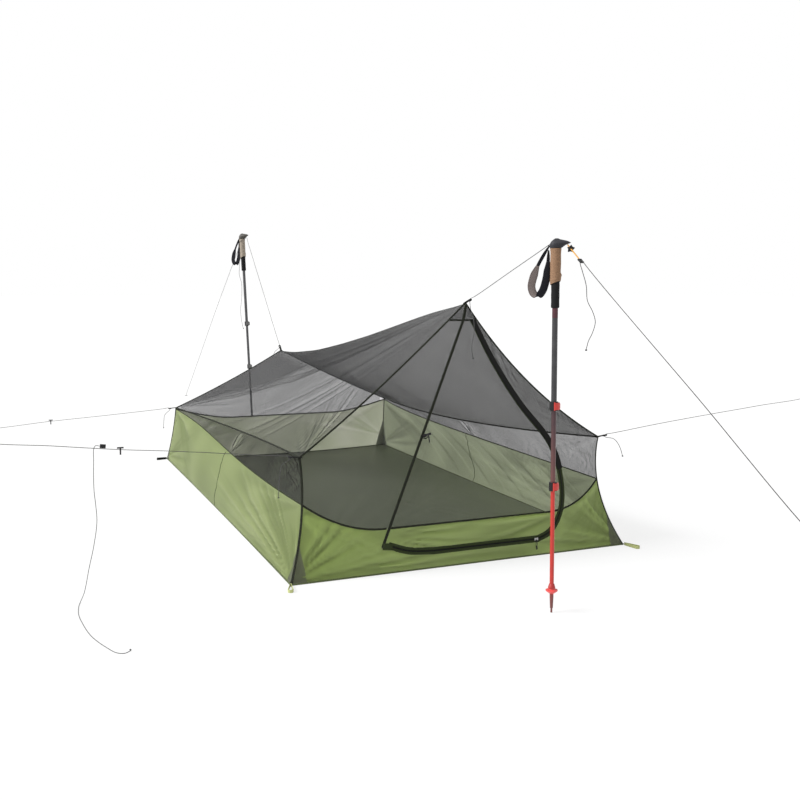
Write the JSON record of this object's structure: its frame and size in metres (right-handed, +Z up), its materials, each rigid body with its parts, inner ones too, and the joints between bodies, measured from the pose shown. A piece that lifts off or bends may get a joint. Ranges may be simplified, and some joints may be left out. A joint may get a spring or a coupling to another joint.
{
  "type": "mesh bug shelter on trekking poles",
  "caption": "Low two-person insect-net shelter with a coated tub floor and a zipped door, pitched between two adjustable trekking poles with guylines.",
  "frame": {"origin": "on the ground under the middle of the floor, half way between its front and rear corners", "axes": "+Z up; +Y from the door end towards the low end, along the shelter; +X to the right of someone who faces the door from outside"},
  "size_m": [3.0097, 5.9945, 1.147],
  "materials": {
    "floor_cloth": "coated nylon cloth, dark green",
    "wall_cloth": "thin coated nylon cloth, light green and slightly see-through",
    "netting": "fine black insect netting, see-through",
    "binding": "narrow woven binding, near black",
    "zip_tape": "woven zip tape with a nylon coil, near black",
    "zip_metal": "cast metal slider",
    "pull_cord": "short black cord pull",
    "stake_webbing": "narrow webbing",
    "head_plastic": "soft-touch moulded plastic",
    "grip_cork": "cork over a black foam sleeve",
    "strap_webbing": "padded webbing with a grey-brown lining",
    "front_shaft_upper": "dark grey anodised tube",
    "front_shaft_middle": "plum-grey anodised tube",
    "front_shaft_lower": "red anodised tube",
    "rear_shaft": "dark grey anodised tube",
    "clamp_plastic": "black moulded plastic",
    "front_lever": "red moulded plastic",
    "rear_lever": "grey moulded plastic",
    "front_basket": "red moulded plastic",
    "rear_basket": "black moulded plastic",
    "cord": "light grey braided cord",
    "yellow_cord": "orange-yellow braided cord",
    "fitting_plastic": "black moulded plastic"
  },
  "bodies": {
    "shelter": {"floor_sheet": "floor_cloth", "wall_left": "wall_cloth", "wall_right": "wall_cloth", "wall_rear": "wall_cloth", "wall_front": "wall_cloth", "mesh_left": "netting", "mesh_right": "netting", "mesh_rear": "netting", "mesh_front": "netting", "roof_mesh": "netting", "zip_tape_frame": "zip_tape", "seam_bindings": "binding", "hinge_seam": "binding", "stake_loop_front_left": "stake_webbing", "stake_loop_front_right": "stake_webbing", "stake_loop_rear_left": "stake_webbing", "stake_loop_rear_right": "stake_webbing", "front_pole_head": "head_plastic", "front_pole_grip": "grip_cork", "front_pole_upper_shaft": "front_shaft_upper", "front_pole_upper_clamp": "clamp_plastic", "rear_pole_head": "head_plastic", "rear_pole_grip": "grip_cork", "rear_pole_upper_shaft": "rear_shaft", "rear_pole_upper_clamp": "clamp_plastic", "guyline_front": "cord", "guyline_rear": "cord", "guyline_front_left": "cord", "guyline_front_right": "cord", "guyline_rear_left": "cord", "peak_line_front": "cord", "peak_line_rear": "cord", "long_tail": "cord", "head_loop": "yellow_cord", "line_adjuster": "fitting_plastic", "star_cleat": "fitting_plastic", "cleat_front_left": "fitting_plastic", "cleat_rear_left": "fitting_plastic", "tail_buckle": "fitting_plastic"},
    "door": {"door_mesh": "netting", "door_skirt": "wall_cloth", "zip_tape_door": "zip_tape"},
    "zip_slider": {"zip_slider": "zip_metal"},
    "zip_pull": {"zip_pull": "pull_cord"},
    "front_middle": {"front_pole_middle_shaft": "front_shaft_middle", "front_pole_lower_clamp": "clamp_plastic"},
    "front_lower": {"front_pole_lower_shaft": "front_shaft_lower", "front_pole_basket": "front_basket"},
    "front_upper_lever": {"front_pole_upper_lever": "front_lever"},
    "front_lower_lever": {"front_pole_lower_lever": "front_lever"},
    "front_strap": {"front_pole_wrist_strap": "strap_webbing"},
    "rear_middle": {"rear_pole_middle_shaft": "rear_shaft", "rear_pole_lower_clamp": "clamp_plastic"},
    "rear_lower": {"rear_pole_lower_shaft": "rear_shaft", "rear_pole_basket": "rear_basket"},
    "rear_upper_lever": {"rear_pole_upper_lever": "rear_lever"},
    "rear_lower_lever": {"rear_pole_lower_lever": "rear_lever"},
    "rear_strap": {"rear_pole_wrist_strap": "strap_webbing"}
  },
  "joints": [
    {"name": "door_hinge", "type": "hinge", "parent": "shelter", "child": "door", "pos_m": [-0.3, -1.05781, 0.097], "axis": [0.3863, 0.0682, 0.9199], "range_deg": [0, 85]},
    {"name": "zip_slide", "type": "slide", "parent": "shelter", "child": "zip_slider", "axis": [-1, 0, 0], "range_m": [0, 0.35]},
    {"name": "pull_swing", "type": "hinge", "parent": "zip_slider", "child": "zip_pull", "pos_m": [0.2505, -1.06647, 0.057], "axis": [-1, 0, 0], "range_deg": [0, 90]},
    {"name": "front_upper_adjust", "type": "slide", "parent": "shelter", "child": "front_middle", "axis": [0, 0.033, 0.9995], "range_m": [-0.14, 0.19]},
    {"name": "front_lower_adjust", "type": "slide", "parent": "front_middle", "child": "front_lower", "axis": [0, 0.033, 0.9995], "range_m": [-0.12, 0.2]},
    {"name": "front_upper_lock", "type": "hinge", "parent": "shelter", "child": "front_upper_lever", "pos_m": [-0.00581, -1.55125, 0.58043], "axis": [0, -0.033, -0.9995], "range_deg": [0, 100]},
    {"name": "front_lower_lock", "type": "hinge", "parent": "front_middle", "child": "front_lower_lever", "pos_m": [-0.00545, -1.55778, 0.35752], "axis": [0, -0.033, -0.9995], "range_deg": [0, 100]},
    {"name": "front_strap_swing", "type": "hinge", "parent": "shelter", "child": "front_strap", "pos_m": [-0.01072, -1.50906, 1.01427], "axis": [0.8034, 0.5951, -0.0196], "range_deg": [0, 110]},
    {"name": "rear_upper_adjust", "type": "slide", "parent": "shelter", "child": "rear_middle", "axis": [0, 0.1751, 0.9846], "range_m": [-0.14, 0.19]},
    {"name": "rear_lower_adjust", "type": "slide", "parent": "rear_middle", "child": "rear_lower", "axis": [0, 0.1751, 0.9846], "range_m": [-0.12, 0.2]},
    {"name": "rear_upper_lock", "type": "hinge", "parent": "shelter", "child": "rear_upper_lever", "pos_m": [-0.00581, 1.70322, 0.63523], "axis": [0, -0.1751, -0.9846], "range_deg": [0, 100]},
    {"name": "rear_lower_lock", "type": "hinge", "parent": "rear_middle", "child": "rear_lower_lever", "pos_m": [-0.00545, 1.66079, 0.3919], "axis": [0, -0.1751, -0.9846], "range_deg": [0, 100]},
    {"name": "rear_strap_swing", "type": "hinge", "parent": "shelter", "child": "rear_strap", "pos_m": [-0.01149, 1.81835, 1.11752], "axis": [0.8034, 0.5862, -0.1043], "range_deg": [0, 110]}
  ]
}
